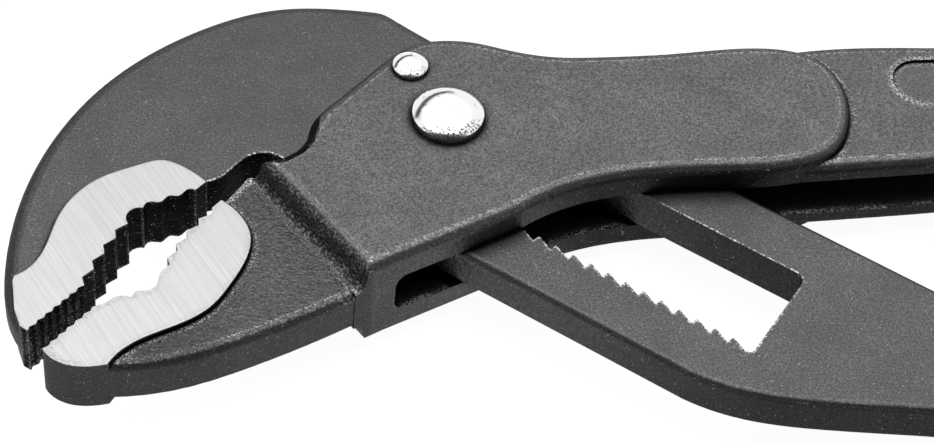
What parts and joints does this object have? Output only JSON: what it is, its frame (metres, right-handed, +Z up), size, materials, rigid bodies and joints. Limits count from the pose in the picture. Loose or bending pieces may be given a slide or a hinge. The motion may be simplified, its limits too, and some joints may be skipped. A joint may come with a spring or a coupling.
{
  "type": "self-adjusting pipe pliers",
  "caption": "Box-joint pipe pliers with curved toothed jaws, a slotted sliding lever with a rack and locking pawl, and two sleeved handles.",
  "frame": {"origin": "on the main rivet's axis, at the flat land of its rear head, where the tool rests", "axes": "+X from the jaws to the handle ends, +Y towards the upper handle, +Z up through the thickness"},
  "size_m": [0.2532, 0.0859, 0.019],
  "materials": {
    "forged_steel": "dark pebbled forged finish, worn bright at its edges, with ground jaw faces",
    "polished_rivet": "polished domed heads",
    "machined_steel": "machined and hardened",
    "spring_steel": "drawn wire",
    "grip_plastic": "soft moulded plastic, fine grained"
  },
  "bodies": {
    "fixed": {"fixed_jaw_body": "forged_steel", "main_rivet": "polished_rivet", "guide_rivet": "polished_rivet", "upper_grip": "grip_plastic"},
    "pivot": {"pivot_block": "machined_steel", "pawl_spring": "spring_steel"},
    "lever": {"sliding_jaw_lever": "forged_steel", "lower_grip": "grip_plastic"},
    "pawl": {"rack_pawl": "machined_steel"}
  },
  "joints": [
    {"name": "handle_pivot", "type": "hinge", "parent": "fixed", "child": "pivot", "pos_m": [0, 0, 0.0095], "axis": [0, 0, -1], "range_deg": [-2.6, 32]},
    {"name": "jaw_slide", "type": "slide", "parent": "pivot", "child": "lever", "axis": [-0.848, 0.5299, 0], "range_m": [0, 0.03682]},
    {"name": "pawl_lock", "type": "slide", "parent": "pivot", "child": "pawl", "axis": [-0.5299, -0.848, 0], "range_m": [0, 0.00095], "stiffness_N_per_m": 300}
  ]
}
